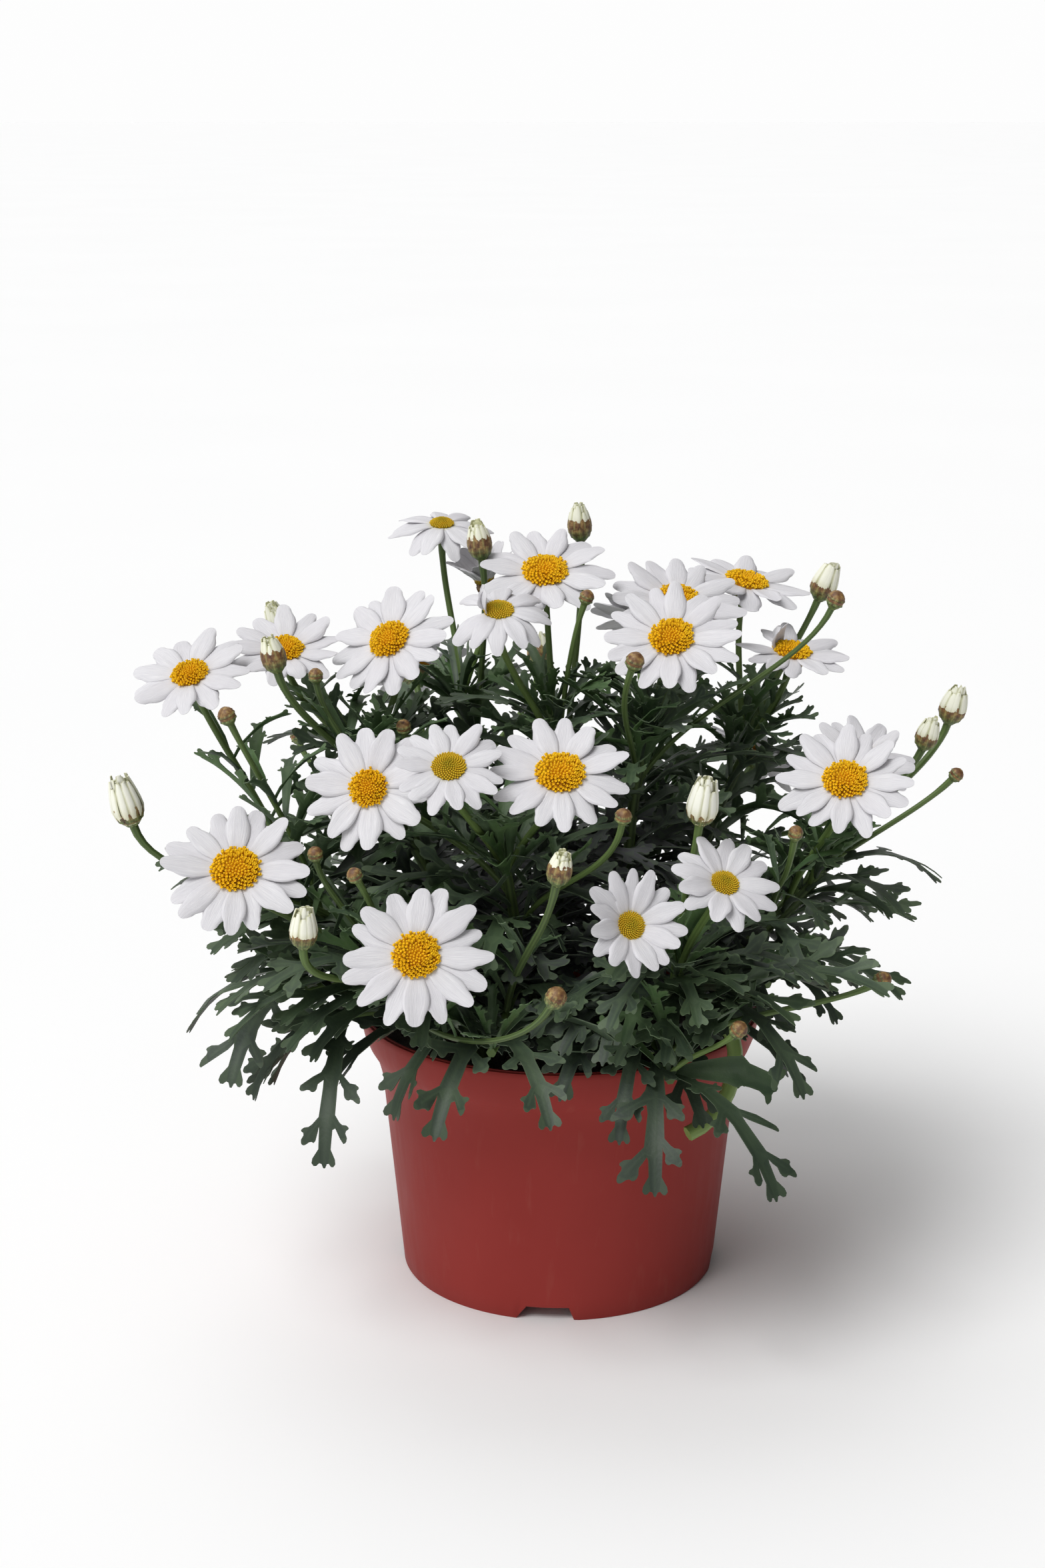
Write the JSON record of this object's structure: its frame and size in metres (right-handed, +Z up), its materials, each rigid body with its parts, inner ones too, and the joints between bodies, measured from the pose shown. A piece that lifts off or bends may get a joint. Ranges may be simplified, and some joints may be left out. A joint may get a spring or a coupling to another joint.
{
  "type": "potted marguerite daisy",
  "caption": "Bushy flowering plant with white yellow-centred daisies, buds and lobed leaves, in a tapered plastic nursery pot of peat.",
  "frame": {"origin": "on the pot's axis, on the surface that the pot stands on", "axes": "+Z up along the pot's axis, -Y towards the side that faces the viewer, +X to the viewer's right"},
  "size_m": [0.2684, 0.2438, 0.2461],
  "materials": {
    "pot": "satin red-brown moulded plastic, slightly scuffed",
    "soil": "dark moist peat, crumbly and matte",
    "rays": "soft white petals with fine lengthwise ridges",
    "disc": "orange-yellow dome of tiny florets",
    "green": "dark bluish-green leaves, lighter ridged stems, brown-green buds"
  },
  "bodies": {
    "root": {"pot": "pot", "soil": "soil", "bloom_01_rays": "rays", "bloom_01_disc": "disc", "bloom_02_rays": "rays", "bloom_02_disc": "disc", "bloom_03_rays": "rays", "bloom_03_disc": "disc", "bloom_04_rays": "rays", "bloom_04_disc": "disc", "bloom_05_rays": "rays", "bloom_05_disc": "disc", "bloom_06_rays": "rays", "bloom_06_disc": "disc", "bloom_07_rays": "rays", "bloom_07_disc": "disc", "bloom_08_rays": "rays", "bloom_08_disc": "disc", "bloom_09_rays": "rays", "bloom_09_disc": "disc", "bloom_10_rays": "rays", "bloom_10_disc": "disc", "bloom_11_rays": "rays", "bloom_11_disc": "disc", "bloom_12_rays": "rays", "bloom_12_disc": "disc", "bloom_13_rays": "rays", "bloom_13_disc": "disc", "bloom_14_rays": "rays", "bloom_14_disc": "disc", "bloom_15_rays": "rays", "bloom_15_disc": "disc", "bloom_16_rays": "rays", "bloom_16_disc": "disc", "bloom_17_rays": "rays", "bloom_17_disc": "disc", "bloom_18_rays": "rays", "bloom_18_disc": "disc", "bloom_19_rays": "rays", "bloom_19_disc": "disc", "bloom_20_rays": "rays", "bloom_20_disc": "disc", "bloom_21_rays": "rays", "bloom_21_disc": "disc", "bloom_22_rays": "rays", "bloom_22_disc": "disc", "bloom_23_rays": "rays", "bloom_23_disc": "disc", "stem_back_left": "green", "stem_middle": "green", "stem_left_top": "green", "stem_left": "green", "stem_right_top": "green", "stem_right_back": "green", "stem_right": "green", "stem_front": "green", "stem_front_left": "green", "stem_front_right": "green", "stem_back_right": "green", "stem_back": "green"}
  },
  "joints": []
}
